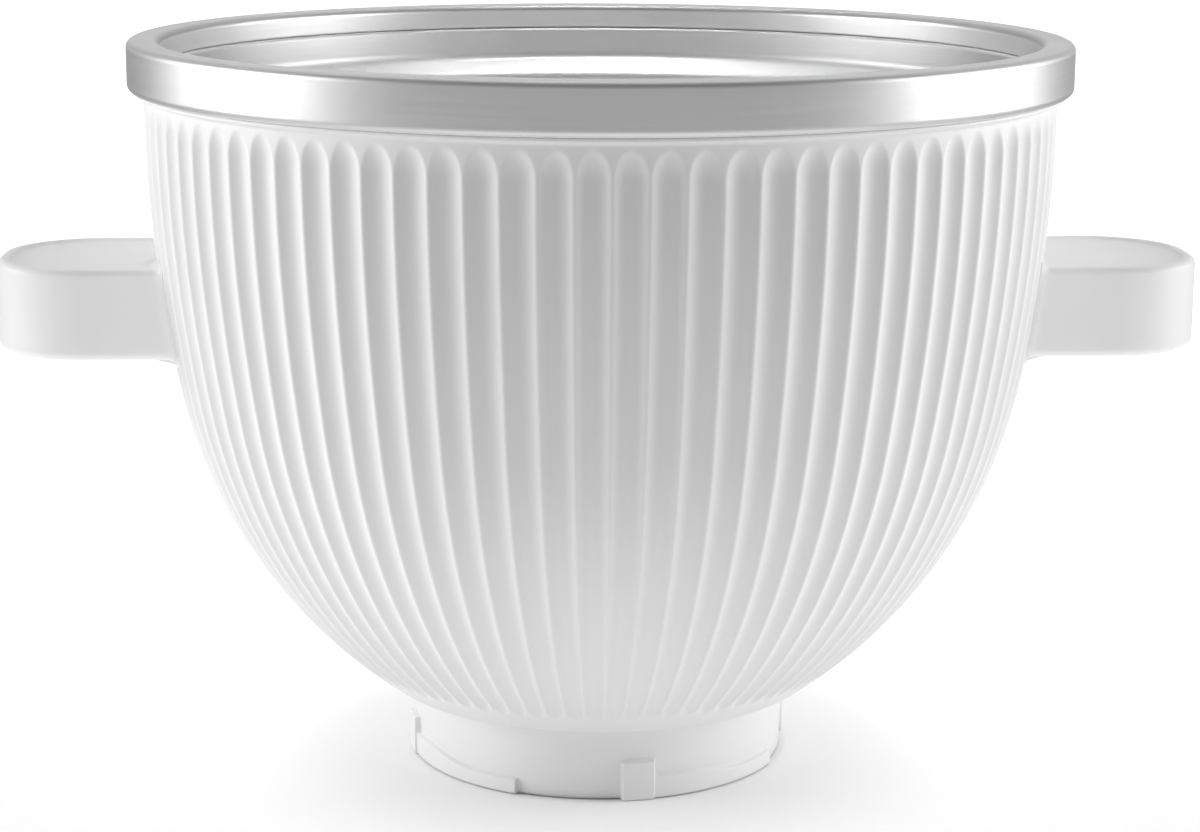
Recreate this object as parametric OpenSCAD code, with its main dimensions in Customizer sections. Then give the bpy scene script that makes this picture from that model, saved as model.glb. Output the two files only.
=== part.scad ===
// Ice cream maker: double-walled freezing bowl with a rotating dasher.
// Origin at the centre of the foot's resting face, +Z up, handles along X.

/* [Bowl] */
// Outer radius of the shell at its widest
shell_r = 116; // [112:0.5:118]
// Height of the shell's lower edge, where the foot starts
shell_base_z = 20; // [18:0.5:24]
// Radius of the shell's upper meridian arc
upper_arc_r = 359; // [320:1:400]
// Radius of the shell's lower meridian arc
lower_arc_r = 129.7; // [126:0.1:134]
// Wall thickness of the shell
shell_wall = 2.4; // [2:0.1:2.6]

/* [Rim ring] */
// Outer radius of the metal rim ring
rim_r = 120; // [119:0.5:124]
// Overall height of the bowl to the top of the ring
rim_top_z = 188.4; // [187:0.1:192]
// Height of the ring's outer band
rim_band_h = 12.4; // [11:0.1:14]
// Inner radius of the ring
rim_bore_r = 111.6; // [111:0.1:112]

/* [Metal bowl] */
// Radius of the freezing bowl just under its shoulder
liner_r = 103; // [100:0.5:104]
// Wall thickness of the freezing bowl
liner_wall = 1.5; // [1:0.1:2]
// Radius of its upper meridian arc
liner_upper_arc_r = 220; // [200:1:260]
// Radius of its lower meridian arc
liner_lower_arc_r = 88; // [84:0.5:90]

/* [Foot] */
// Outer radius of the foot at the resting face
foot_r = 48.7; // [47:0.1:50]
// Outer radius over the bayonet lugs
lug_r = 50.4; // [50.2:0.1:51.5]
// Height of the stop block on each lug
stop_h = 10.4; // [8:0.1:12]
// Mean height of the lug ledge
ledge_h = 5; // [4:0.1:6]

/* [Handles] */
// Distance from the axis to the end of each handle
handle_reach = 154.7; // [150:0.1:160]
// Half width of each handle
handle_half_w = 28; // [26:0.5:30]
// Radius of the handle's outer corners
handle_corner_r = 24; // [18:0.5:26]
// Height of the handle's underside
handle_z = 109.5; // [105:0.5:112]
// Thickness of the handle, top to bottom
handle_h = 23; // [21:0.5:25]
// Wall thickness of the hollow handle
handle_wall = 3; // [2.5:0.1:4]
// Radius of the locating hole under each handle
locating_r = 4.6; // [4:0.1:5]

/* [Dasher] */
// Gap between the dasher's frame and the metal bowl
dasher_gap = 3; // [2.5:0.1:4]
// Width of the dasher's blades
blade_w = 13; // [10:0.5:16]
// Thickness of the dasher's frame
blade_t = 5; // [4:0.5:6]
// Radius of the dasher's upper hub
hub_r = 11.5; // [10.5:0.5:12]
// Radius of the drive socket's bore
drive_r = 4; // [3.5:0.1:4.5]

/* [Hidden] */
$fn = 96;
arc_fn = 360;

// shell meridian: two tangent arcs that join at join_a below the horizontal
join_a = 11.33;
c1x = shell_r - upper_arc_r;
c1z = 171.7;
c2x = c1x + (upper_arc_r - lower_arc_r) * cos(join_a);
c2z = c1z - (upper_arc_r - lower_arc_r) * sin(join_a);

// freezing bowl meridian: two tangent arcs
liner_join_a = 18;
shoulder_z = 168;
l1x = liner_r - liner_upper_arc_r;
l1z = shoulder_z;
l2x = l1x + (liner_upper_arc_r - liner_lower_arc_r) * cos(liner_join_a);
l2z = l1z - (liner_upper_arc_r - liner_lower_arc_r) * sin(liner_join_a);
liner_floor_z = l2z - liner_lower_arc_r;

band_z = rim_top_z - rim_band_h;
ring_wall = 1.8;
flange_z = 181.7;
jacket_in = 5;
jacket_wall = 1.6;
jacket_z = 27;
jacket_top_z = 168;
screw_z = 121;
screw_y = 16;
foot_top_z = shell_base_z - 0.05;
foot_web_z = foot_top_z - 3.45;
cover_z = 8;

// everything above (side = 1) or below (side = -1) the line through two points
module beside(px, pz, a, side) {
    polygon([[px - 500 * cos(a), pz + 500 * sin(a)], [px + 900 * cos(a), pz - 900 * sin(a)],
        [900, side * 900], [-500, side * 900]]);
}

// half profile of the shell's body, its outer surface moved in by d
module shell_2d(d, z0, z1) {
    intersection() {
        union() {
            intersection() {
                translate([c1x, c1z]) circle(r = upper_arc_r - d, $fn = arc_fn);
                beside(c1x, c1z, join_a, 1);
            }
            intersection() {
                translate([c2x, c2z]) circle(r = lower_arc_r - d, $fn = arc_fn);
                beside(c1x, c1z, join_a, -1);
            }
        }
        translate([0, z0]) square([200, z1 - z0]);
    }
}

// half profile of the freezing bowl's body, its inner surface moved out by d
module liner_2d(d, z0, z1) {
    intersection() {
        union() {
            intersection() {
                translate([l1x, l1z]) circle(r = liner_upper_arc_r + d, $fn = arc_fn);
                beside(l1x, l1z, liner_join_a, 1);
            }
            intersection() {
                translate([l2x, l2z]) circle(r = liner_lower_arc_r + d, $fn = arc_fn);
                beside(l1x, l1z, liner_join_a, -1);
            }
            translate([0, l2z - liner_lower_arc_r - d]) square([l2x, 40]);
        }
        translate([0, z0]) square([200, z1 - z0]);
    }
}

module solid_of(d, z0, z1) { rotate_extrude($fn = 180) shell_2d(d, z0, z1); }

module tube(ro, ri, z0, z1) {
    translate([0, 0, z0]) difference() {
        cylinder(r = ro, h = z1 - z0);
        translate([0, 0, -1]) cylinder(r = ri, h = z1 - z0 + 2);
    }
}

// an upright screw: pan head below z, shank above it
module screw_up(z, len, head_r, head_h, shank_r) {
    translate([0, 0, z - head_h]) cylinder(r = head_r, h = head_h, $fn = 48);
    translate([0, 0, z - 0.5]) cylinder(r = shank_r, h = len + 0.5, $fn = 48);
}

// plan of a handle, its outline moved in by d
module handle_plan(d) {
    w = handle_half_w - d;
    l = handle_reach - d;
    c = handle_corner_r - d;
    union() {
        translate([90, -w]) square([l - c - 90, 2 * w]);
        translate([90, -(w - c)]) square([l - 90, 2 * (w - c)]);
        for (s = [-1, 1]) translate([l - c, s * (w - c)]) circle(r = c);
    }
}

module outer_shell() {
    color([0.93, 0.93, 0.93]) difference() {
        union() {
            difference() {
                solid_of(0, shell_base_z, 180);
                solid_of(shell_wall, shell_base_z + shell_wall, 181);
            }
            // bead under the ring
            rotate_extrude($fn = 180) polygon([[shell_r - 1.5, 173.6], [shell_r + 0.1, 173.6],
                [shell_r + 1.6, 174.5], [shell_r + 1.6, 175.2], [shell_r + 1.2, 175.6], [shell_r - 1.5, 175.6]]);
            // screw bosses on the floor
            for (a = [45 : 90 : 315]) rotate([0, 0, a]) translate([41, 0, shell_base_z + 0.5])
                cylinder(r = 4, h = 6, $fn = 48);
        }
        // floor opening
        translate([0, 0, shell_base_z - 1]) cylinder(r = 30, h = 6);
        for (a = [45 : 90 : 315]) rotate([0, 0, a]) translate([41, 0, shell_base_z - 1])
            cylinder(r = 1.75, h = 8, $fn = 48);
        // handle screw holes and the spot faces for their heads
        for (s = [-1, 1]) for (y = [-screw_y, screw_y]) translate([0, y, screw_z]) {
            rotate([0, s * 90, 0]) translate([0, 0, 100]) cylinder(r = 1.9, h = 20, $fn = 48);
            rotate([0, s * 90, 0]) translate([0, 0, 100]) cylinder(r = 3.5, h = 9.4, $fn = 48);
        }
    }
}

module rim_ring() {
    color([0.72, 0.72, 0.73]) rotate_extrude($fn = 180) difference() {
        union() {
            // top web with rounded edges
            translate([rim_bore_r, rim_top_z - 3.8]) square([rim_r - rim_bore_r, 2.8]);
            translate([rim_bore_r + 1, rim_top_z - 2]) square([rim_r - rim_bore_r - 2, 2]);
            translate([rim_bore_r + 1, rim_top_z - 1]) circle(r = 1);
            translate([rim_r - 1, rim_top_z - 1]) circle(r = 1);
            // inner skirt
            translate([rim_bore_r, flange_z + 0.1]) square([1.4, rim_top_z - flange_z - 2]);
            // outer band, its lower corner turned in
            translate([rim_r - ring_wall, band_z + 2.6]) square([ring_wall, rim_band_h - 4]);
            translate([rim_r - 2.6, band_z + 2.6]) circle(r = 2.6);
        }
        translate([rim_bore_r + 1.4, band_z - 1]) square([rim_r - ring_wall - rim_bore_r - 1.4, rim_band_h - ring_wall + 1]);
    }
}

module inner_bowl() {
    color([0.78, 0.78, 0.79]) rotate_extrude($fn = 180) difference() {
        union() {
            liner_2d(liner_wall, 0, shoulder_z + 2);
            translate([0, 169.95]) square([112.3, flange_z - 169.95]);
            translate([90, 180.2]) square([27.7, flange_z - 180.2]);
        }
        liner_2d(0, 0, shoulder_z + 0.01);
        // shoulder and collar
        polygon([[0, shoulder_z - 1], [liner_r - 0.002, shoulder_z - 1], [liner_r, shoulder_z], [103.4, 169.4],
            [104.6, 170.8], [106.4, 172], [108.3, 173], [109.5, 174.1], [110, 175.6], [110, 180.6],
            [110.3, 181.3], [111, flange_z], [111, 183], [0, 183]]);
    }
}

module rim_gasket() {
    color([0.25, 0.25, 0.26]) tube(110.8, 106.7, jacket_top_z + 0.1, 169.85);
}

module coolant_jacket() {
    color([0.86, 0.88, 0.9]) difference() {
        solid_of(jacket_in, jacket_z, jacket_top_z);
        solid_of(jacket_in + jacket_wall, jacket_z + jacket_wall, jacket_top_z - jacket_wall);
        translate([0, 0, 150]) cylinder(r = 106.5, h = 30);
        translate([0, 0, jacket_z - 1]) cylinder(r = 6, h = 4, $fn = 64);
    }
}

module coolant_fill() {
    color([0.55, 0.75, 0.9]) difference() {
        solid_of(jacket_in + jacket_wall + 0.1, jacket_z + jacket_wall + 0.1, 160);
        rotate_extrude($fn = 180) liner_2d(liner_wall + 0.1, 0, 170);
        translate([0, 0, jacket_z]) cylinder(r = 6.4, h = 4, $fn = 64);
    }
}

module insulation() {
    color([0.9, 0.88, 0.78]) difference() {
        solid_of(shell_wall + 0.1, shell_base_z + shell_wall + 0.1, 167);
        solid_of(jacket_in - 0.1, jacket_z - 0.1, 168);
        translate([0, 0, 20]) cylinder(r = 12, h = 10);
        for (a = [45 : 90 : 315]) rotate([0, 0, a]) translate([41, 0, 20]) cylinder(r = 4.3, h = 12, $fn = 48);
        for (s = [-1, 1]) for (y = [-screw_y, screw_y]) translate([0, y, screw_z])
            rotate([0, s * 90, 0]) translate([0, 0, 100]) cylinder(r = 4, h = 20, $fn = 48);
    }
}

module fill_plug() {
    color([0.3, 0.3, 0.32]) {
        translate([0, 0, 23.2]) cylinder(r = 10, h = 1.9, $fn = 64);
        translate([0, 0, 25]) cylinder(r = 5.9, h = 4.4, $fn = 64);
    }
}

module fill_plug_o_ring() {
    color([0.12, 0.12, 0.12]) translate([0, 0, 26.05]) rotate_extrude($fn = 64)
        translate([7.4, 0]) circle(r = 0.85, $fn = 32);
}

module foot_ring() {
    color([0.93, 0.93, 0.93]) difference() {
        union() {
            rotate_extrude($fn = 180) polygon([[foot_r - 0.5, 0], [foot_r + 0.02, 0.6], [foot_r + 0.7, foot_top_z],
                [30.3, foot_top_z], [30.3, foot_web_z], [foot_r - 2.6, foot_web_z], [foot_r - 3, 0]]);
            // posts for the base cover
            for (a = [0, 120, 240]) rotate([0, 0, a]) translate([36, 0, cover_z + 2.5])
                cylinder(r = 3.8, h = foot_web_z - cover_z - 2, $fn = 48);
            // four bayonet lugs: a stop block, then a ledge that falls away from it
            for (i = [0 : 3]) rotate([0, 0, -85.5 + 90 * i]) {
                rotate_extrude(angle = 10, $fn = 180) translate([foot_r - 1.5, 0])
                    square([lug_r - foot_r + 1.7, stop_h]);
                rotate([0, 0, 33.5]) difference() {
                    rotate([0, 0, -24.5]) rotate_extrude(angle = 49, $fn = 180) translate([foot_r - 1.2, 0])
                        square([lug_r - foot_r + 1.1, ledge_h + 2]);
                    translate([0, 0, ledge_h]) rotate([-2.8, 0, 0]) translate([30, -40, 0]) cube([30, 80, 10]);
                }
            }
        }
        for (a = [45 : 90 : 315]) rotate([0, 0, a]) translate([41, 0, 10]) cylinder(r = 1.9, h = 20, $fn = 48);
        for (a = [0, 120, 240]) rotate([0, 0, a]) translate([36, 0, 0]) cylinder(r = 1.5, h = 18.5, $fn = 48);
        // gasket groove
        tube(47.6, 44.4, foot_top_z - 1.2, foot_top_z + 1);
    }
}

module foot_gasket() {
    color([0.25, 0.25, 0.26]) tube(47.4, 44.6, foot_top_z - 1.1, foot_top_z - 0.02);
}

module foot_screws() {
    color([0.6, 0.6, 0.62]) for (a = [45 : 90 : 315]) rotate([0, 0, a]) translate([41, 0, 0])
        screw_up(foot_web_z - 0.05, 8.8, 3.1, 1.8, 1.7);
}

module base_cover() {
    color([0.9, 0.9, 0.9]) difference() {
        union() {
            translate([0, 0, cover_z]) cylinder(r = foot_r - 3.3, h = 2.4);
            tube(26, 24.2, cover_z + 1, cover_z + 4);
        }
        for (a = [0, 120, 240]) rotate([0, 0, a]) translate([36, 0, 0]) cylinder(r = 1.7, h = 20, $fn = 48);
    }
}

module cover_screws() {
    color([0.6, 0.6, 0.62]) for (a = [0, 120, 240]) rotate([0, 0, a]) translate([36, 0, 0])
        screw_up(cover_z - 0.05, 9.5, 2.9, 1.7, 1.45);
}

module handle(s) {
    color([0.94, 0.94, 0.94]) rotate([0, 0, s > 0 ? 0 : 180]) difference() {
        union() {
            difference() {
                translate([0, 0, handle_z]) linear_extrude(handle_h) handle_plan(0);
                translate([0, 0, handle_z + handle_wall]) linear_extrude(handle_h - 2 * handle_wall) handle_plan(handle_wall);
                // shallow dish in the top
                translate([0, 0, handle_z + handle_h - 0.7]) linear_extrude(2) handle_plan(3.2);
            }
            // bosses for the two screws
            for (y = [-screw_y, screw_y]) translate([100, y, screw_z]) rotate([0, 90, 0])
                cylinder(r = 4.2, h = 34, $fn = 48);
            // ribs that carry the bosses
            for (y = [-screw_y, screw_y]) translate([100, y - 1.2, handle_z + 1]) cube([32, 2.4, handle_h - 3]);
            // boss round the locating hole
            translate([139, 0, handle_z + 1]) cylinder(r = 7.4, h = 15, $fn = 64);
        }
        // root follows the shell
        solid_of(-0.15, 60, 165);
        for (y = [-screw_y, screw_y]) translate([90, y, screw_z]) rotate([0, 90, 0])
            cylinder(r = 1.75, h = 38, $fn = 48);
        translate([139, 0, handle_z - 1]) cylinder(r = locating_r, h = 14, $fn = 64);
    }
}

module handle_left() { handle(-1); }
module handle_right() { handle(1); }

module handle_screws(s) {
    color([0.6, 0.6, 0.62]) rotate([0, 0, s > 0 ? 0 : 180]) for (y = [-screw_y, screw_y])
        translate([109.2, y, screw_z]) rotate([0, 90, 0]) {
            translate([0, 0, -1.6]) cylinder(r = 3.1, h = 1.6, $fn = 48);
            translate([0, 0, -0.5]) cylinder(r = 1.7, h = 17.5, $fn = 48);
        }
}

module handle_screws_left() { handle_screws(-1); }
module handle_screws_right() { handle_screws(1); }

module pivot_pin() {
    color([0.7, 0.7, 0.72]) {
        translate([0, 0, liner_floor_z + 0.02]) cylinder(r = 8, h = 1.6, $fn = 64);
        translate([0, 0, liner_floor_z + 1]) cylinder(r = 4, h = 13, $fn = 64);
        translate([0, 0, liner_floor_z + 14]) cylinder(r1 = 4, r2 = 3, h = 1, $fn = 64);
    }
}

module dasher_bush() {
    color([0.95, 0.95, 0.9]) difference() {
        union() {
            translate([0, 0, liner_floor_z + 1.9]) cylinder(r = 9.5, h = 2, $fn = 64);
            translate([0, 0, liner_floor_z + 3.8]) cylinder(r = 7, h = 11.6, $fn = 64);
        }
        translate([0, 0, liner_floor_z]) cylinder(r = 4.06, h = 30, $fn = 64);
    }
}

module both_sides() { children(); mirror([1, 0]) children(); }

module dasher_frame() {
    color([0.95, 0.95, 0.95]) difference() {
        union() {
            // blades and the two halves of the top bar in one plane
            rotate([90, 0, 0]) translate([0, 0, -blade_t / 2]) linear_extrude(blade_t) both_sides() {
                difference() {
                    liner_2d(-dasher_gap, 0, 146);
                    liner_2d(-dasher_gap - blade_w, 0, 153);
                }
                translate([6, 136]) square([84, 10]);
            }
            // lower hub
            translate([0, 0, liner_floor_z + 4.2]) cylinder(r = 11.5, h = 17, $fn = 64);
        }
        // seat over the bush
        translate([0, 0, 20]) cylinder(r = 10.2, h = liner_floor_z + 4.2 - 20, $fn = 64);
        translate([0, 0, 20]) cylinder(r = 7.06, h = liner_floor_z + 16 - 20, $fn = 64);
        // slots for the wipers
        rotate([90, 0, 0]) translate([0, 0, -0.9]) linear_extrude(1.8) both_sides() difference() {
            liner_2d(0, 62, 143.4);
            liner_2d(-7.2, 40, 152);
        }
        // the top bar stops at the upper hub
        translate([0, 0, 130]) cylinder(r = hub_r, h = 20, $fn = 64);
    }
}

module dasher_hub() {
    color([0.95, 0.95, 0.95]) difference() {
        union() {
            translate([0, 0, 126]) cylinder(r = hub_r, h = 38, $fn = 64);
            translate([0, 0, 120]) cylinder(r1 = 5, r2 = hub_r, h = 6, $fn = 64);
        }
        // pocket for the drive insert and the hole for its pin
        translate([0, 0, 141.8]) cylinder(r = 7.56, h = 30, $fn = 64);
        translate([0, 15, 144.8]) rotate([90, 0, 0]) cylinder(r = 1.25, h = 30, $fn = 48);
    }
}

module dasher_wipers() {
    color([0.8, 0.85, 0.88]) rotate([90, 0, 0]) translate([0, 0, -0.8]) linear_extrude(1.6) both_sides() difference() {
        liner_2d(-0.8, 62.4, 143);
        liner_2d(-7, 40, 152);
    }
}

module drive_insert() {
    color([0.65, 0.65, 0.67]) difference() {
        translate([0, 0, 142]) cylinder(r = 7.5, h = 22.6, $fn = 64);
        translate([0, 0, 147.6]) cylinder(r = drive_r, h = 30, $fn = 64);
        // drive slot across the mouth
        translate([-10, -1.2, 160.6]) cube([20, 2.4, 10]);
        translate([0, 15, 144.8]) rotate([90, 0, 0]) cylinder(r = 1.25, h = 30, $fn = 48);
    }
}

module insert_pin() {
    color([0.6, 0.6, 0.62]) translate([0, 11, 144.8]) rotate([90, 0, 0]) cylinder(r = 1.2, h = 22, $fn = 48);
}

outer_shell();
rim_ring();
inner_bowl();
rim_gasket();
coolant_jacket();
coolant_fill();
insulation();
fill_plug();
fill_plug_o_ring();
foot_ring();
foot_gasket();
foot_screws();
base_cover();
cover_screws();
handle_left();
handle_right();
handle_screws_left();
handle_screws_right();
pivot_pin();
dasher_bush();
dasher_frame();
dasher_hub();
dasher_wipers();
drive_insert();
insert_pin();
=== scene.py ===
"""Looks for the ice cream maker: a fluted white freezing bowl with a satin metal rim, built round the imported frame."""

import math

import bpy
import numpy as np
from mathutils import Matrix, Vector


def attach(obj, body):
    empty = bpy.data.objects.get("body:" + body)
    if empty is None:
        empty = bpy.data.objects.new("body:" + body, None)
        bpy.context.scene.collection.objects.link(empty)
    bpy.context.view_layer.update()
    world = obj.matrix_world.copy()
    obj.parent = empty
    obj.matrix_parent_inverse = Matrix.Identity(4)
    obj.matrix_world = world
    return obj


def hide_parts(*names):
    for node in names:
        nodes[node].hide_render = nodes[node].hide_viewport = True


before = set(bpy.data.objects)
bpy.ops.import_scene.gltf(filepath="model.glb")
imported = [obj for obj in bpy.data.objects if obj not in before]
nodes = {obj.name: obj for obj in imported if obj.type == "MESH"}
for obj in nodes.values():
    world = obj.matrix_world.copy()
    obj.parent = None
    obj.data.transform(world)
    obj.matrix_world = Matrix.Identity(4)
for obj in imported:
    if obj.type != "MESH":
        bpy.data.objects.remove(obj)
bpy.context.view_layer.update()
MM = 0.001
PHI = 2.5                     # the bowl's handles are turned this far from square to the camera, degrees

# ---------------------------------------------------------------- camera
DIST, CAM_Z, PITCH, ROLL, LENS = 720.1, 246.95, 12.386, 0.253, 83.974
cam_data = bpy.data.cameras.new("camera")
cam = bpy.data.objects.new("camera", cam_data)
bpy.context.scene.collection.objects.link(cam)
cam_data.lens = LENS
cam_data.sensor_width = 36.0
cam_data.sensor_fit = "HORIZONTAL"
cam_data.shift_x = 0.00075
cam_data.clip_start = 0.01
cam_data.clip_end = 60
phi = math.radians(PHI)
cam.matrix_world = (Matrix.Translation((-DIST * MM * math.sin(phi), -DIST * MM * math.cos(phi), CAM_Z * MM))
                    @ Matrix.Rotation(-phi, 4, "Z") @ Matrix.Rotation(math.radians(90 - PITCH), 4, "X")
                    @ Matrix.Rotation(math.radians(ROLL), 4, "Z"))
bpy.context.scene.camera = cam


# ---------------------------------------------------------------- mesh helpers
def make_object(name, verts, faces, smooth=True, sharp=38.0):
    """A mesh object from vertices in millimetres. Faces may be quads (an array) or a list of index lists."""
    mesh = bpy.data.meshes.new(name)
    mesh.from_pydata((np.asarray(verts, float) * MM).tolist(), [], [list(map(int, f)) for f in faces])
    mesh.validate()
    mesh.update()
    if smooth:
        mesh.polygons.foreach_set("use_smooth", [True] * len(mesh.polygons))
        mesh.set_sharp_from_angle(angle=math.radians(sharp))
    obj = bpy.data.objects.new(name, mesh)
    bpy.context.scene.collection.objects.link(obj)
    return obj


def grid_faces(rows, cols, wrap_rows, wrap_cols):
    """Quads over a rows x cols grid of vertices, wound so that normals point out of a profile that runs anticlockwise."""
    i, j = np.meshgrid(np.arange(rows if wrap_rows else rows - 1), np.arange(cols if wrap_cols else cols - 1), indexing="ij")
    i2, j2 = (i + 1) % rows, (j + 1) % cols
    quad = np.stack([i * cols + j, i * cols + j2, i2 * cols + j2, i2 * cols + j], -1)
    return quad.reshape(-1, 4)


def fillet(points, default=0.0, steps=6):
    """A closed polygon of (r, z, radius) corners, each rounded with its radius, as an array of (r, z)."""
    pts = [(p[0], p[1], p[2] if len(p) > 2 else default) for p in points]
    out = []
    n = len(pts)
    for k in range(n):
        p0, p, p1 = (np.array(pts[(k + o) % n][:2], float) for o in (-1, 0, 1))
        rad = pts[k][2]
        a, b = p0 - p, p1 - p
        la, lb = np.linalg.norm(a), np.linalg.norm(b)
        a, b = a / la, b / lb
        ang = math.acos(max(-1, min(1, float(a @ b))))
        if rad <= 0 or ang > math.pi - 0.02:
            out.append(p)
            continue
        t = min(rad / math.tan(ang / 2), la * 0.49, lb * 0.49)
        rad = t * math.tan(ang / 2)
        mid = a + b
        c = p + mid / np.linalg.norm(mid) * (rad / math.sin(ang / 2))
        s, e = p + a * t - c, p + b * t - c
        sweep = math.atan2(s[0] * e[1] - s[1] * e[0], float(s @ e))
        for q in np.linspace(0, sweep, steps + 1):
            cq, sq = math.cos(q), math.sin(q)
            out.append(c + np.array([s[0] * cq - s[1] * sq, s[0] * sq + s[1] * cq]))
    return np.array(out)


def densify(profile, longest):
    """Adds points so that no step of a closed profile is longer than given, with a support point close to each end."""
    out = []
    n = len(profile)
    for k in range(n):
        p, q = profile[k], profile[(k + 1) % n]
        out.append(p)
        d = float(np.linalg.norm(q - p))
        if d > longest:
            m = int(math.ceil(d / longest))
            stops = sorted(set([0.15 / d, 1 - 0.15 / d] + [i / m for i in range(1, m)]))
            out += [p + (q - p) * s for s in stops if 0.04 / d < s < 1 - 0.04 / d]
    return np.array(out)


def lathe(name, profile, seg=360, sharp=38.0):
    """Revolves a closed (r, z) profile, listed anticlockwise, about Z."""
    prof = np.asarray(profile, float)
    ang = np.arange(seg) * 2 * math.pi / seg
    r, z = prof[:, 0][:, None], prof[:, 1][:, None]
    verts = np.stack([r * np.cos(ang), r * np.sin(ang), z + 0 * ang], -1).reshape(-1, 3)
    return make_object(name, verts, grid_faces(len(prof), seg, True, True)[:, ::-1] if area(prof) < 0 else grid_faces(len(prof), seg, True, True), sharp=sharp)


def area(p):
    x, y = p[:, 0], p[:, 1]
    return 0.5 * float(np.sum(x * np.roll(y, -1) - np.roll(x, -1) * y))


# ---------------------------------------------------------------- the outer shell's meridian (two tangent arcs)
UP_R, LOW_R, JOIN = 359.0, 129.7, math.radians(11.33)
C1 = np.array([116.0 - UP_R, 171.7])
C2 = C1 + (UP_R - LOW_R) * np.array([math.cos(JOIN), -math.sin(JOIN)])
JOIN_Z = C1[1] - UP_R * math.sin(JOIN)
FLUTES = 88
PITCH_A = 2 * math.pi / FLUTES
FLUTE_AT = math.radians(-90 - PHI - 0.70)
FLUTE_W, FLUTE_DEEP, FLUTE_SOFT = 0.45, 0.44, 0.20      # half width in pitches, depth in half widths, rounding of the crests
TIP_Z, FULL_Z = 172.9, 166.4          # tip of the arch, and where a flute reaches its full width
END_Z, END_FULL_Z = 26.2, 29.5        # lower end


def shell_radius(z, inset=0.0):
    z = np.asarray(z, float)
    up = C1[0] + np.sqrt(np.maximum((UP_R - inset) ** 2 - (z - C1[1]) ** 2, 0))
    low = C2[0] + np.sqrt(np.maximum((LOW_R - inset) ** 2 - (z - C2[1]) ** 2, 0))
    return np.where(z > JOIN_Z, up, low)


def shell_normal(z):
    """Outward normal (r, z) of the meridian."""
    z = np.asarray(z, float)
    up, low = (z - C1[1]) / UP_R, (z - C2[1]) / LOW_R
    s = np.where(z > JOIN_Z, up, low)
    return np.sqrt(1 - s * s), s


def flute_depth(u, z):
    """Depth of the groove at u (-0.5 to 0.5 of a pitch, 0 at the groove's centre) and height z."""
    pitch = 2 * math.pi * shell_radius(z) / FLUTES
    w = pitch * FLUTE_W
    deep = FLUTE_DEEP * w
    x = np.abs(u) * pitch / w
    top = np.clip((z - FULL_Z) / (TIP_Z - FULL_Z), 0, 3)
    low = np.clip((END_FULL_Z - z) / (END_FULL_Z - END_Z), 0, 3)
    q = 1 - x * x - top * top - low * low
    # the crest between two grooves is rounded: q blends to nothing over a band in place of a sharp break
    e = FLUTE_SOFT
    soft = np.where(q > e, q, np.where(q < -e, 0, (q + e) ** 2 / (4 * e)))
    return deep * soft


def fluted_shell():
    half = np.array([0.0, 0.06, 0.12, 0.18, 0.24, 0.29, 0.33, 0.365, 0.395, 0.42, 0.445, 0.47])
    u = np.concatenate([-half[:0:-1], half, [0.5]])
    u = np.sort(u)
    cols = (np.arange(FLUTES)[:, None] + u[None, :]).reshape(-1)
    uu = np.tile(u, FLUTES)
    ang = FLUTE_AT + cols * PITCH_A
    n = len(ang)
    # outer rows, bottom to top
    zs = np.concatenate([np.linspace(21.4, 25.4, 6), np.linspace(25.8, 31, 16), np.linspace(32, 60, 22), np.linspace(62.5, 158, 40),
                         np.linspace(159.5, 165.5, 7), np.linspace(166, 174, 28)])
    rows = []

    def ring(r, z):
        rows.append(np.stack([r * np.cos(ang), r * np.sin(ang), np.broadcast_to(z, ang.shape)], -1))

    def flat(r, z):
        ring(np.full(n, r), np.full(n, z))

    # floor of the shell and its rounded lower edge
    flat(31.0, 22.4); flat(30.2, 21.2); flat(31.0, 20.0); flat(48.0, 20.0); flat(53.4, 20.0)
    zb = 21.4
    rb = float(shell_radius(zb))
    nr, nz = (float(a) for a in shell_normal(zb))
    base = np.array([rb, zb])
    start = np.array([54.3, 20.0])
    for t in (0.2, 0.4, 0.6, 0.8):
        p = (1 - t) ** 2 * start + 2 * t * (1 - t) * np.array([55.9, 20.05]) + t * t * base
        flat(float(p[0]), float(p[1]))
    for z in zs:
        d = flute_depth(uu, z)
        nr, nz = shell_normal(z)
        ring(shell_radius(z) - d * nr, z - d * nz)
    # bead under the ring, then the wall inside the ring
    for r, z in ((116.05, 174.3), (116.3, 174.5), (116.9, 174.62), (117.5, 174.78), (117.95, 175.0), (118.15, 175.3), (118.1, 175.6), (117.95, 175.8), (117.6, 175.95),
                 (116.6, 176.0), (115.98, 176.1), (115.98, 179.6), (115.6, 180.0), (114.0, 180.0), (113.6, 179.6)):
        flat(r, z)
    # inner surface, top to bottom
    for z in (170, 150, 125, 101, 80, 60, 45, 34, 27, 23.4):
        flat(float(shell_radius(z, 2.4)), z)
    flat(float(shell_radius(22.4, 2.4)) - 1.0, 22.4)
    verts = np.concatenate(rows)
    return make_object("shell_outer", verts, grid_faces(len(rows), n, True, True), sharp=60)


# ---------------------------------------------------------------- pieces
def build_rim():
    prof = fillet([(120.0, 176.05, 2.9), (120.0, 188.4, 1.7), (111.6, 188.4, 1.9), (111.6, 181.85, 0.4), (113.0, 181.85, 0.4),
                   (113.0, 186.6, 0.6), (118.2, 186.6, 0.6), (118.2, 178.6, 0.3), (116.7, 178.0, 0.3), (116.7, 176.05, 0.45)], steps=9)
    return lathe("rim_band", densify(prof, 1.2), seg=512, sharp=50)


def arc_points(cx, cz, r, a0, a1, n):
    a = np.radians(np.linspace(a0, a1, n))
    return np.stack([cx + r * np.cos(a), cz - r * np.sin(a)], -1)


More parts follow.
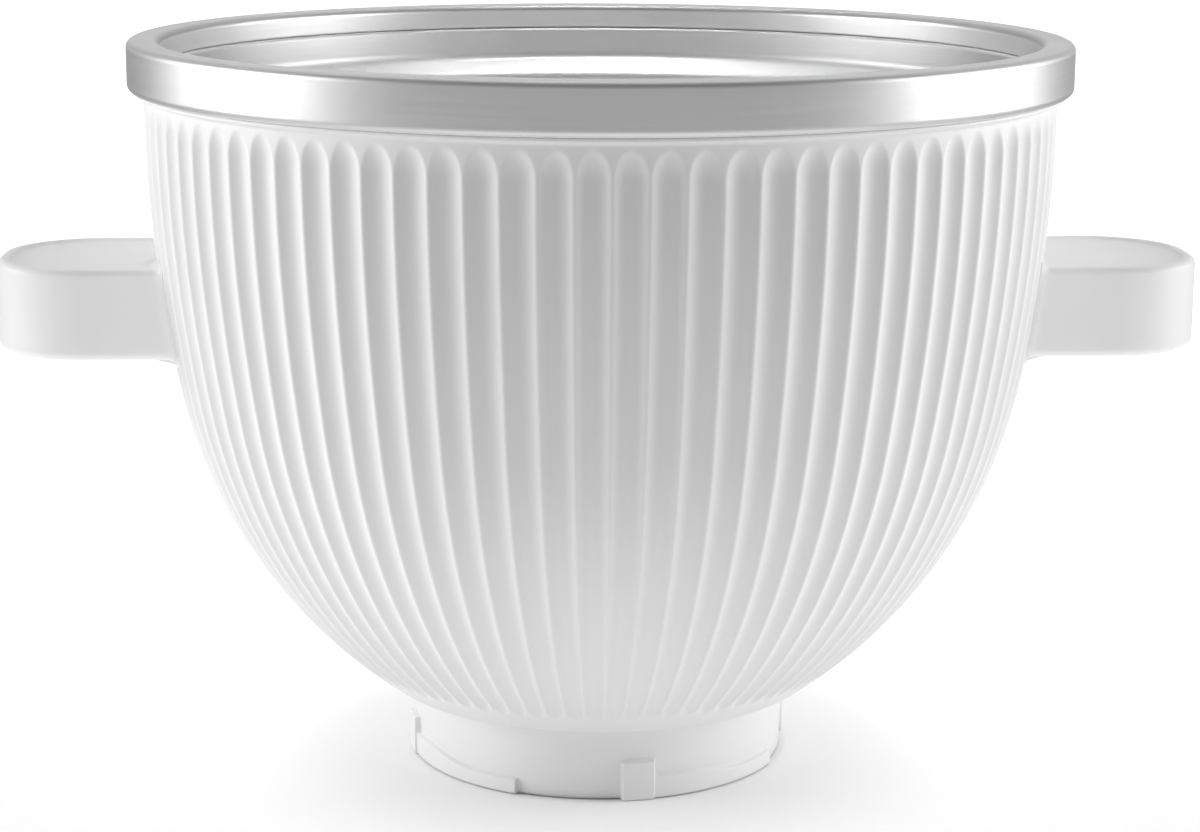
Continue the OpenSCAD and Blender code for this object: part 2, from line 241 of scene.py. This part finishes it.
L1X, L1Z, L_UP, L_LOW, L_JOIN = 103.0 - 220.0, 168.0, 220.0, 88.0, 18.0
L2X = L1X + (L_UP - L_LOW) * math.cos(math.radians(L_JOIN))
L2Z = L1Z - (L_UP - L_LOW) * math.sin(math.radians(L_JOIN))
FLOOR_Z = L2Z - L_LOW


def build_liner():
    inner = [(0.0, FLOOR_Z), (3.0, FLOOR_Z), (6.0, FLOOR_Z), (L2X, FLOOR_Z)]
    inner += [tuple(p) for p in arc_points(L2X, L2Z, L_LOW, 88, L_JOIN, 40)]
    inner += [tuple(p) for p in arc_points(L1X, L1Z, L_UP, L_JOIN - 0.8, 0.6, 22)]
    neck = fillet([(103.0, 165.5, 0), (103.02, 169.2, 4.2), (109.9, 173.4, 3.4), (110.0, 181.7, 0.9), (117.5, 181.7, 0.5), (117.5, 180.2, 0.3),
                   (112.3, 180.2, 0.3), (112.3, 170.0, 0.3), (106.0, 169.9, 0.3), (104.5, 167.0, 0.3)], steps=10)
    outer = [tuple(p) for p in arc_points(L1X, L1Z, L_UP + 1.5, 0.8, L_JOIN, 16)]
    outer += [tuple(p) for p in arc_points(L2X, L2Z, L_LOW + 1.5, L_JOIN + 1, 90, 28)] + [(0.0, FLOOR_Z - 1.5)]
    prof = inner + [tuple(p) for p in neck] + outer
    return lathe_poles("bowl_liner", prof, 360)


def lathe_poles(name, prof, seg):
    """Revolves an open profile whose two ends are on the axis."""
    ang = np.arange(seg) * 2 * math.pi / seg
    body = np.array(prof[1:-1], float)
    verts = np.stack([body[:, 0][:, None] * np.cos(ang), body[:, 0][:, None] * np.sin(ang), body[:, 1][:, None] + 0 * ang], -1).reshape(-1, 3)
    faces = grid_faces(len(body), seg, False, True).tolist()
    a, b = len(verts), len(verts) + 1
    verts = np.concatenate([verts, [[0, 0, prof[0][1]], [0, 0, prof[-1][1]]]])
    last = (len(body) - 1) * seg
    for j in range(seg):
        k = (j + 1) % seg
        faces.append([a, k, j])
        faces.append([b, last + j, last + k])
    # the profile runs up the inside and down the outside, so turn the faces to point out of the metal
    faces = [f[::-1] for f in faces]
    return make_object(name, verts, faces, sharp=50)


LUG_START = -85.5
FOOT_Z = 20.0


def edge(x, width):
    """0 below 0, 1 above width, smooth between."""
    t = np.clip(x / width, 0, 1)
    return t * t * (3 - 2 * t)


def build_foot():
    base = list(np.arange(0, 360, 0.75))
    for k in range(4):
        for a in (0, 10, 58.5):
            base += list((LUG_START + 90 * k + a + np.arange(-1.4, 1.41, 0.1)) % 360)
    ang_d = np.array(sorted(set(np.round(np.array(base) % 360, 3))))
    ang = np.radians(ang_d)
    n = len(ang)
    rel = (ang_d - LUG_START) % 90          # 0 at the start of the nearest lug
    rel = np.where(rel > 80, rel - 90, rel)
    arc = math.radians(1) * 49.5            # millimetres for one degree

    def out_radius(z):
        wall = 48.6 + 0.036 * z
        ends = edge(rel * arc + 0.35, 0.8) * edge((10 - rel) * arc + 0.35, 0.8)
        block = ends * edge(10.6 - z, 0.7) * (50.5 - wall)
        along = np.clip((rel - 9) / 49.0, 0, 1)
        ledge_top = 6.2 - 2.0 * edge(along - 0.2, 0.5)
        ends2 = edge((rel - 8) * arc, 0.8) * edge((58.5 - rel) * arc + 0.4, 0.9)
        ledge = ends2 * edge(ledge_top + 0.25 - z, 0.7) * (49.95 - wall)
        r = wall + np.maximum(block, ledge)
        # rounded lower edge
        r -= 0.75 * (1 - np.sqrt(np.clip(1 - (1 - np.clip(z / 0.75, 0, 1)) ** 2, 0, 1)))
        # rounded where the wall meets the shell
        r += 0.8 * (1 - np.sqrt(np.clip(1 - np.clip((z - 18.9) / 1.1, 0, 1) ** 2, 0, 1)))
        return r

    rows = []

    def ring(r, z):
        rows.append(np.stack([r * np.cos(ang), r * np.sin(ang), np.full(n, float(z))], -1))

    for r, z in ((30.2, 16.6), (46.0, 16.6), (46.2, 16.3), (45.9, 8.0), (45.7, 0.5), (45.85, 0.15), (46.2, 0.0), (47.2, 0.0)):
        ring(np.full(n, r), z)
    ring(out_radius(0.0) - 0.0, 0.0)
    for z in np.concatenate([[0.05, 0.15, 0.3, 0.5, 0.75, 1.1], np.linspace(1.6, 3.2, 5), np.linspace(3.4, 6.8, 24), np.linspace(7.3, 9.4, 6), np.linspace(9.6, 11.0, 12),
                             np.linspace(12, 18.6, 8), [18.9, 19.3, 19.6, 19.8, 19.95]]):
        ring(out_radius(z), z)
    ring(np.full(n, 48.0), 19.97)
    ring(np.full(n, 30.4), 19.97)
    return make_object("foot_lugged", np.concatenate(rows), grid_faces(len(rows), n, True, True), sharp=60)


FLARE = 2.6                            # size of the fillet between a handle and the shell


def build_handle(name, side):
    """A flat paddle with round corners and a shallow dish in its top. Its root runs into the shell's wall."""
    reach, half, corner, z0, z1 = 154.7, 28.0, 24.0, 109.5, 132.5

    def outline(inset, z):
        w, l, c = half - inset, reach - inset, max(corner - inset, 0.4)
        buried = float(shell_radius(z)) - 1.7
        root = math.sqrt(buried ** 2 - w ** 2)
        along = np.concatenate([np.linspace(0, 0.03, 2), np.linspace(0.05, 0.5, 24), np.linspace(0.55, 1, 6)])
        pts = [(root + (l - c - root) * t, -w) for t in along]
        pts += [(l - c + c * math.cos(a), -(w - c) + c * math.sin(a)) for a in np.linspace(-math.pi / 2, 0, 25)[1:]]
        pts += [(l + 0.0, y) for y in np.linspace(-(w - c), w - c, 6)[1:-1]]
        pts += [(l - c + c * math.cos(a), (w - c) + c * math.sin(a)) for a in np.linspace(0, math.pi / 2, 25)]
        pts += [(root + (l - c - root) * t, w) for t in along[::-1][1:]]
        pts += [(math.sqrt(buried ** 2 - y ** 2), y) for y in np.linspace(w, -w, 12)[1:-1]]
        return np.array(pts)

    section = []                       # (inset, z) from the underside's middle to the top's
    rb, rt = 2.2, 1.7
    section += [(6.0, z0), (rb + 0.3, z0)]
    section += [(rb - rb * math.sin(a), z0 + rb - rb * math.cos(a)) for a in np.linspace(0, math.pi / 2, 8)]
    section += [(0.0, z0 + rb + 0.3), (0.0, (z0 + z1) / 2), (0.0, z1 - rt - 0.3)]
    section += [(rt - rt * math.cos(a), z1 - rt + rt * math.sin(a)) for a in np.linspace(0, math.pi / 2, 8)]
    section += [(rt + 0.25, z1), (2.9, z1), (3.15, z1 - 0.04), (3.5, z1 - 0.25), (4.0, z1 - 0.5), (4.6, z1 - 0.66), (5.4, z1 - 0.7), (7.0, z1 - 0.7), (14.0, z1 - 0.7)]
    sec = np.array(section)
    run = np.gradient(sec, axis=0)
    run /= np.maximum(np.linalg.norm(run, axis=1, keepdims=True), 1e-9)
    rings = []
    for (inset, z), (di, dz) in zip(section, run):
        o = outline(inset, z)
        x, y = o[:, 0], o[:, 1]
        # where the paddle meets the shell it flares out along its own surface normal, as a small fillet
        gap = np.clip(np.hypot(x, y) - shell_radius(np.full(len(x), z)), 0, FLARE)
        grow = FLARE * 0.75 * (1 - np.sqrt(1 - (1 - gap / FLARE) ** 2))
        out_y, out_z = dz, di
        y = y + np.sign(y) * grow * max(out_y, 0.0) * (np.abs(y) > half - inset - 0.01)
        rings.append(np.column_stack([x * side, y * side, z + grow * out_z]))
    # the locating hole in the underside
    first = outline(section[0][0], z0)
    turn = np.arctan2(first[:, 1], first[:, 0] - 139.0)
    hole = [np.column_stack([(139.0 + r * np.cos(turn)) * side, r * np.sin(turn) * side, np.full(len(turn), z)])
            for r, z in ((4.6, z0 + 13.0), (4.6, z0 + 6.0), (4.6, z0 + 0.5), (4.75, z0 + 0.15), (5.1, z0), (6.2, z0))]
    rings = hole + rings
    n = len(rings[0])
    faces = grid_faces(len(rings), n, False, True).tolist()
    faces.append(list(range(n))[::-1])
    faces.append([(len(rings) - 1) * n + k for k in range(n)])
    return make_object(name, np.concatenate(rings), faces, sharp=40)


# ---------------------------------------------------------------- materials
def new_material(name, colour, roughness, metallic=0.0):
    m = bpy.data.materials.new(name)
    m.use_nodes = True
    nt = m.node_tree
    bsdf = nt.nodes["Principled BSDF"]
    bsdf.inputs["Base Color"].default_value = (*colour, 1)
    bsdf.inputs["Roughness"].default_value = roughness
    bsdf.inputs["Metallic"].default_value = metallic
    return m, nt, bsdf


def node(nt, kind, **values):
    n = nt.nodes.new(kind)
    for k, v in values.items():
        if k in n.inputs:
            n.inputs[k].default_value = v
        else:
            setattr(n, k, v)
    return n


def vary(nt, bsdf, colour, spread, scale, rough, rough_spread, bump_scale, bump, detail=6, bump_distance=0.0004):
    """Mottles colour and roughness a little and adds a fine surface grain, all in object space."""
    tc = node(nt, "ShaderNodeTexCoord")
    big = node(nt, "ShaderNodeTexNoise", Scale=scale, Detail=4.0, Roughness=0.55)
    fine = node(nt, "ShaderNodeTexNoise", Scale=bump_scale, Detail=float(detail), Roughness=0.6)
    nt.links.new(tc.outputs["Object"], big.inputs["Vector"])
    nt.links.new(tc.outputs["Object"], fine.inputs["Vector"])
    ramp = node(nt, "ShaderNodeValToRGB")
    lo = [max(c - spread, 0) for c in colour]
    hi = [min(c + spread, 1) for c in colour]
    ramp.color_ramp.elements[0].position = 0.3
    ramp.color_ramp.elements[1].position = 0.7
    ramp.color_ramp.elements[0].color = (*lo, 1)
    ramp.color_ramp.elements[1].color = (*hi, 1)
    nt.links.new(big.outputs["Fac"], ramp.inputs["Fac"])
    nt.links.new(ramp.outputs["Color"], bsdf.inputs["Base Color"])
    rr = node(nt, "ShaderNodeMapRange")
    rr.inputs["From Min"].default_value, rr.inputs["From Max"].default_value = 0.3, 0.7
    rr.inputs["To Min"].default_value, rr.inputs["To Max"].default_value = rough - rough_spread, rough + rough_spread
    nt.links.new(fine.outputs["Fac"], rr.inputs["Value"])
    nt.links.new(rr.outputs["Result"], bsdf.inputs["Roughness"])
    b = node(nt, "ShaderNodeBump", Strength=bump, Distance=bump_distance)
    nt.links.new(fine.outputs["Fac"], b.inputs["Height"])
    nt.links.new(b.outputs["Normal"], bsdf.inputs["Normal"])
    return tc, big, fine, b


def plastic(name, colour, rough=0.36, spread=0.012, bump=0.06, grain=2600.0, coat=0.0):
    m, nt, bsdf = new_material(name, colour, rough)
    vary(nt, bsdf, colour, spread, 22.0, rough, 0.035, grain, bump)
    bsdf.inputs["Specular IOR Level"].default_value = 0.30
    return m


def spun_metal(name, colour, rough=0.3, lines=900.0, bump=0.12, spread=0.02):
    """Metal with very fine turning lines that run round the axis."""
    m, nt, bsdf = new_material(name, colour, rough, 1.0)
    tc = node(nt, "ShaderNodeTexCoord")
    sep = node(nt, "ShaderNodeSeparateXYZ")
    nt.links.new(tc.outputs["Object"], sep.inputs["Vector"])
    xx = node(nt, "ShaderNodeMath", operation="MULTIPLY")
    yy = node(nt, "ShaderNodeMath", operation="MULTIPLY")
    add = node(nt, "ShaderNodeMath", operation="ADD")
    root = node(nt, "ShaderNodeMath", operation="SQRT")
    for k in (0, 1):
        nt.links.new(sep.outputs["X"], xx.inputs[k])
        nt.links.new(sep.outputs["Y"], yy.inputs[k])
    nt.links.new(xx.outputs[0], add.inputs[0])
    nt.links.new(yy.outputs[0], add.inputs[1])
    nt.links.new(add.outputs[0], root.inputs[0])
    slow = node(nt, "ShaderNodeMath", operation="MULTIPLY")
    slow.inputs[1].default_value = 0.012
    nt.links.new(sep.outputs["X"], slow.inputs[0])
    comb = node(nt, "ShaderNodeCombineXYZ")
    nt.links.new(root.outputs[0], comb.inputs["X"])
    nt.links.new(sep.outputs["Z"], comb.inputs["Y"])
    nt.links.new(slow.outputs[0], comb.inputs["Z"])
    line = node(nt, "ShaderNodeTexNoise", Scale=lines, Detail=5.0, Roughness=0.7)
    nt.links.new(comb.outputs[0], line.inputs["Vector"])
    big = node(nt, "ShaderNodeTexNoise", Scale=30.0, Detail=3.0)
    nt.links.new(tc.outputs["Object"], big.inputs["Vector"])
    ramp = node(nt, "ShaderNodeValToRGB")
    ramp.color_ramp.elements[0].position = 0.35
    ramp.color_ramp.elements[1].position = 0.65
    ramp.color_ramp.elements[0].color = (*[max(c - spread, 0) for c in colour], 1)
    ramp.color_ramp.elements[1].color = (*[min(c + spread, 1) for c in colour], 1)
    nt.links.new(big.outputs["Fac"], ramp.inputs["Fac"])
    nt.links.new(ramp.outputs["Color"], bsdf.inputs["Base Color"])
    rr = node(nt, "ShaderNodeMapRange")
    rr.inputs["From Min"].default_value, rr.inputs["From Max"].default_value = 0.3, 0.7
    rr.inputs["To Min"].default_value, rr.inputs["To Max"].default_value = rough - 0.04, rough + 0.05
    nt.links.new(line.outputs["Fac"], rr.inputs["Value"])
    nt.links.new(rr.outputs["Result"], bsdf.inputs["Roughness"])
    b = node(nt, "ShaderNodeBump", Strength=bump, Distance=0.0002)
    nt.links.new(line.outputs["Fac"], b.inputs["Height"])
    nt.links.new(b.outputs["Normal"], bsdf.inputs["Normal"])
    return m


def painted_shade_by_facing(m, side=0.0, top=0.0, inner=0.0):
    """Paints shade into the colour: a little darker on the faces that look sideways or upwards (painted shade), and a
    little lighter on those that face the axis (painted light).
    """
    nt = m.node_tree
    bsdf = nt.nodes["Principled BSDF"]
    source = bsdf.inputs["Base Color"].links[0].from_socket
    tc = node(nt, "ShaderNodeTexCoord")
    sep = node(nt, "ShaderNodeSeparateXYZ")
    nt.links.new(tc.outputs["Normal"], sep.inputs["Vector"])
    xx = node(nt, "ShaderNodeMath", operation="MULTIPLY")
    nt.links.new(sep.outputs["X"], xx.inputs[0])
    nt.links.new(sep.outputs["X"], xx.inputs[1])
    up = node(nt, "ShaderNodeMath", operation="MAXIMUM")
    nt.links.new(sep.outputs["Z"], up.inputs[0])
    up.inputs[1].default_value = 0.0
    a = node(nt, "ShaderNodeMath", operation="MULTIPLY_ADD")
    nt.links.new(xx.outputs[0], a.inputs[0])
    a.inputs[1].default_value = -side
    dot = node(nt, "ShaderNodeVectorMath", operation="DOT_PRODUCT")
    nt.links.new(tc.outputs["Object"], dot.inputs[0])
    nt.links.new(tc.outputs["Normal"], dot.inputs[1])
    inward = node(nt, "ShaderNodeMapRange")
    inward.inputs["From Min"].default_value, inward.inputs["From Max"].default_value = -0.04, -0.09
    inward.inputs["To Min"].default_value, inward.inputs["To Max"].default_value = 1.0, 1.0 + inner
    nt.links.new(dot.outputs["Value"], inward.inputs["Value"])
    nt.links.new(inward.outputs["Result"], a.inputs[2])
    b = node(nt, "ShaderNodeMath", operation="MULTIPLY_ADD")
    nt.links.new(up.outputs[0], b.inputs[0])
    b.inputs[1].default_value = -top
    nt.links.new(a.outputs[0], b.inputs[2])
    tone = node(nt, "ShaderNodeVectorMath", operation="SCALE")
    nt.links.new(source, tone.inputs[0])
    nt.links.new(b.outputs[0], tone.inputs["Scale"])
    nt.links.new(tone.outputs[0], bsdf.inputs["Base Color"])
    return m


WHITE = plastic("white_shell", (0.80, 0.80, 0.80), 0.40)
# painted shade: the handles, foot, ring and bowl are darkened on their sideways faces by their normal; the ring also
# gets painted light on its inner face
WHITE_HANDLE = painted_shade_by_facing(plastic("white_handle", (0.935, 0.935, 0.935), 0.42), side=0.33)
WHITE_FOOT = painted_shade_by_facing(plastic("white_foot", (0.83, 0.83, 0.83), 0.40), side=0.14)
RIM_METAL = painted_shade_by_facing(spun_metal("satin_rim", (0.69, 0.69, 0.695), 0.42), side=0.56, inner=0.36)
BOWL_METAL = painted_shade_by_facing(spun_metal("spun_bowl", (0.90, 0.90, 0.90), 0.50, lines=1400.0), side=0.60)
STEEL = spun_metal("turned_steel", (0.6, 0.6, 0.61), 0.28, lines=1800.0)
RUBBER = plastic("seal_rubber", (0.05, 0.05, 0.052), 0.6, spread=0.01, bump=0.2, grain=1800.0)
PLUG = plastic("plug_rubber", (0.08, 0.08, 0.085), 0.55, spread=0.01, bump=0.2, grain=1500.0)
JACKET = plastic("jacket_plastic", (0.68, 0.71, 0.74), 0.35)
COOLANT = plastic("coolant_gel", (0.35, 0.55, 0.75), 0.12, spread=0.03, bump=0.02, grain=300.0)
FOAM = plastic("insulation_foam", (0.72, 0.69, 0.55), 0.85, spread=0.05, bump=0.9, grain=700.0)
COVER = plastic("cover_plastic", (0.74, 0.74, 0.74), 0.5, bump=0.16, grain=1800.0)
BUSH = plastic("bush_acetal", (0.82, 0.81, 0.74), 0.3)
DASHER = plastic("dasher_plastic", (0.82, 0.82, 0.81), 0.4, bump=0.1, grain=2000.0)
WIPER = plastic("wiper_silicone", (0.62, 0.68, 0.72), 0.48, spread=0.02, bump=0.12, grain=1600.0)


def paint(obj, material):
    obj.data.materials.clear()
    obj.data.materials.append(material)


def finish_piece(obj, material, slot, *cad):
    paint(obj, material)
    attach(obj, "root")
    if cad:
        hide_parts(*cad)


finish_piece(fluted_shell(), WHITE, "shell_plastic", "outer_shell")
finish_piece(build_rim(), RIM_METAL, "ring_metal", "rim_ring")
finish_piece(build_liner(), BOWL_METAL, "bowl_metal", "inner_bowl")
finish_piece(build_foot(), WHITE_FOOT, "shell_plastic", "foot_ring")
finish_piece(build_handle("handle_paddle_left", -1), WHITE_HANDLE, "handle_plastic", "handle_left")
finish_piece(build_handle("handle_paddle_right", 1), WHITE_HANDLE, "handle_plastic", "handle_right")
CAD_LOOKS = {
    "rim_gasket": RUBBER, "coolant_jacket": JACKET, "coolant_fill": COOLANT, "insulation": FOAM, "fill_plug": PLUG, "fill_plug_o_ring": RUBBER,
    "foot_gasket": RUBBER, "foot_screws": STEEL, "base_cover": COVER, "cover_screws": STEEL, "handle_screws_left": STEEL, "handle_screws_right": STEEL,
    "pivot_pin": STEEL, "dasher_bush": BUSH, "dasher_frame": DASHER, "dasher_hub": DASHER, "dasher_wipers": WIPER, "drive_insert": STEEL, "insert_pin": STEEL,
}
for name, material in CAD_LOOKS.items():
    paint(nodes[name], material)

# ---------------------------------------------------------------- stage
R = 14.0
FLOOR_ALBEDO, FLOOR_NEAR, FLOOR_FAR, FLOOR_SEEN = 0.30, 0.88, 0.30, 0.065
WORLD, BEHIND, AHEAD, SIDE_POWER, TOP_POWER, BEAM_POWER = 0.20, 0.50, 0.29, 9.7, 2.0, 0.46
floor = make_object("floor", [[x * R * 1000, y * R * 1000, -0.02] for x, y in ((-1, -1), (1, -1), (1, 1), (-1, 1))], [[0, 1, 2, 3]], smooth=False)
fm = bpy.data.materials.new("floor_white")
fm.use_nodes = True
fb = fm.node_tree.nodes["Principled BSDF"]
fb.inputs["Base Color"].default_value = (FLOOR_ALBEDO, FLOOR_ALBEDO, FLOOR_ALBEDO, 1)
fb.inputs["Roughness"].default_value = 0.8
fb.inputs["Specular IOR Level"].default_value = 0.1
fb.inputs["Emission Color"].default_value = (1, 1, 1, 1)
fn = fm.node_tree


def chain(kind, a, b=None, **values):
    n = node(fn, kind, **values)
    fn.links.new(a, n.inputs[0])
    if b is not None:
        fn.links.new(b, n.inputs[1])
    return n.outputs[0]


lp = fn.nodes.new("ShaderNodeLightPath")
geo = fn.nodes.new("ShaderNodeTexCoord")
flat = fn.nodes.new("ShaderNodeVectorMath")
flat.operation = "LENGTH"
fn.links.new(geo.outputs["Object"], flat.inputs[0])
# the floor's seen glow is low close round the foot and rises outwards: a painted contact shadow round the bowl
glow = None
for r0, r1, gain in ((0.047, 0.11, 0.23), (0.20, 0.9, 0.72)):
    m = fn.nodes.new("ShaderNodeMapRange")
    m.interpolation_type = "SMOOTHSTEP"
    m.inputs["From Min"].default_value, m.inputs["From Max"].default_value = r0, r1
    m.inputs["To Min"].default_value, m.inputs["To Max"].default_value = (FLOOR_SEEN if glow is None else 0.0), gain + (FLOOR_SEEN if glow is None else 0.0)
    fn.links.new(flat.outputs["Value"], m.inputs["Value"])
    glow = m.outputs["Result"] if glow is None else chain("ShaderNodeMath", glow, m.outputs["Result"], operation="ADD")
away = fn.nodes.new("ShaderNodeMapRange")          # what the floor throws back at the object, less far away
away.interpolation_type = "SMOOTHSTEP"
away.inputs["From Min"].default_value, away.inputs["From Max"].default_value = 0.16, 0.75
away.inputs["To Min"].default_value, away.inputs["To Max"].default_value = FLOOR_NEAR, FLOOR_FAR
fn.links.new(flat.outputs["Value"], away.inputs["Value"])
painted_contact_shadow = fn.nodes.new("ShaderNodeMapRange")         # painted contact shadow: a narrow dark ring where the foot meets the floor
painted_contact_shadow.interpolation_type = "SMOOTHSTEP"
painted_contact_shadow.inputs["From Min"].default_value, painted_contact_shadow.inputs["From Max"].default_value = 0.0494, 0.0512
painted_contact_shadow.inputs["To Min"].default_value, painted_contact_shadow.inputs["To Max"].default_value = 0.0, 1.0
fn.links.new(flat.outputs["Value"], painted_contact_shadow.inputs["Value"])
under = fn.nodes.new("ShaderNodeMapRange")         # painted shade: the light the floor throws back is dimmed close round the foot, where the bowl shades it
under.interpolation_type = "SMOOTHSTEP"
under.inputs["From Min"].default_value, under.inputs["From Max"].default_value = 0.05, 0.13
under.inputs["To Min"].default_value, under.inputs["To Max"].default_value = 0.62, 1.0
fn.links.new(flat.outputs["Value"], under.inputs["Value"])
bounce = chain("ShaderNodeMath", away.outputs["Result"], painted_contact_shadow.outputs["Result"], operation="MULTIPLY")
bounce = chain("ShaderNodeMath", bounce, under.outputs["Result"], operation="MULTIPLY")
emit = fn.nodes.new("ShaderNodeMix")
emit.data_type = "FLOAT"
fn.links.new(bounce, emit.inputs[2])
fn.links.new(lp.outputs["Is Camera Ray"], emit.inputs[0])
fn.links.new(chain("ShaderNodeMath", glow, painted_contact_shadow.outputs["Result"], operation="MULTIPLY"), emit.inputs[3])
fn.links.new(emit.outputs[0], fb.inputs["Emission Strength"])
tint = fn.nodes.new("ShaderNodeMix")
tint.data_type = "RGBA"
tint.inputs[6].default_value = (FLOOR_ALBEDO, FLOOR_ALBEDO, FLOOR_ALBEDO, 1)
tint.inputs[7].default_value = (0.90, 0.90, 0.90, 1)
fn.links.new(lp.outputs["Is Camera Ray"], tint.inputs[0])
fn.links.new(tint.outputs[2], fb.inputs["Base Color"])
paint(floor, fm)


def softbox(name, loc, target, size, power, size_y=None):
    data = bpy.data.lights.new(name, "AREA")
    data.shape = "RECTANGLE"
    data.size = size
    data.size_y = size_y or size
    data.energy = power
    obj = bpy.data.objects.new(name, data)
    bpy.context.scene.collection.objects.link(obj)
    obj.location = loc
    obj.rotation_euler = (Vector(target) - Vector(loc)).to_track_quat("-Z", "Y").to_euler()
    return obj


softbox("soft_left", (-1.15, 0.05, 0.34), (0, 0, 0.15), 0.9, SIDE_POWER, 0.64)
softbox("soft_right", (1.15, 0.05, 0.34), (0, 0, 0.15), 0.9, SIDE_POWER, 0.64)
softbox("soft_top", (0, 0.25, 1.5), (0, 0, 0), 1.6, TOP_POWER)
softbox("grid_top", (0, 0.0, 1.05), (0, 0, 0), 0.08, BEAM_POWER).data.spread = math.radians(11)

world = bpy.data.worlds.new("studio")
bpy.context.scene.world = world
world.use_nodes = True
wn = world.node_tree
bg = wn.nodes["Background"]
bg.inputs["Color"].default_value = (1, 1, 1, 1)
# for lighting, the room is brighter behind the object than in front of it
way = wn.nodes.new("ShaderNodeTexCoord")
part = wn.nodes.new("ShaderNodeSeparateXYZ")
wn.links.new(way.outputs["Generated"], part.inputs[0])
room = wn.nodes.new("ShaderNodeMapRange")
room.interpolation_type = "SMOOTHSTEP"
room.inputs["From Min"].default_value, room.inputs["From Max"].default_value = -0.1, 0.6
room.inputs["To Min"].default_value, room.inputs["To Max"].default_value = WORLD, WORLD + BEHIND
wn.links.new(part.outputs["Y"], room.inputs["Value"])
ahead = wn.nodes.new("ShaderNodeMapRange")         # a low glow along the horizon in front
ahead.interpolation_type = "SMOOTHSTEP"
ahead.inputs["From Min"].default_value, ahead.inputs["From Max"].default_value = -0.75, -0.35
ahead.inputs["To Min"].default_value, ahead.inputs["To Max"].default_value = AHEAD, 0.0
wn.links.new(part.outputs["Y"], ahead.inputs["Value"])
height = wn.nodes.new("ShaderNodeMapRange")
height.interpolation_type = "SMOOTHSTEP"
height.inputs["From Min"].default_value, height.inputs["From Max"].default_value = 0.10, 0.34
height.inputs["To Min"].default_value, height.inputs["To Max"].default_value = 1.0, 0.0
wn.links.new(part.outputs["Z"], height.inputs["Value"])
both = node(wn, "ShaderNodeMath", operation="MULTIPLY")
wn.links.new(ahead.outputs["Result"], both.inputs[0])
wn.links.new(height.outputs["Result"], both.inputs[1])
total = node(wn, "ShaderNodeMath", operation="ADD")
wn.links.new(both.outputs[0], total.inputs[0])
wn.links.new(room.outputs["Result"], total.inputs[1])
wn.links.new(total.outputs[0], bg.inputs["Strength"])
seen = wn.nodes.new("ShaderNodeBackground")
seen.inputs["Strength"].default_value = 1.0
path = wn.nodes.new("ShaderNodeLightPath")
mixw = wn.nodes.new("ShaderNodeMixShader")
wn.links.new(path.outputs["Is Camera Ray"], mixw.inputs["Fac"])
wn.links.new(bg.outputs[0], mixw.inputs[1])
wn.links.new(seen.outputs[0], mixw.inputs[2])
wn.links.new(mixw.outputs[0], wn.nodes["World Output"].inputs["Surface"])

view = bpy.context.scene.view_settings
view.view_transform = "Standard"
view.look = "None"
view.exposure = 0.0
view.gamma = 1.0
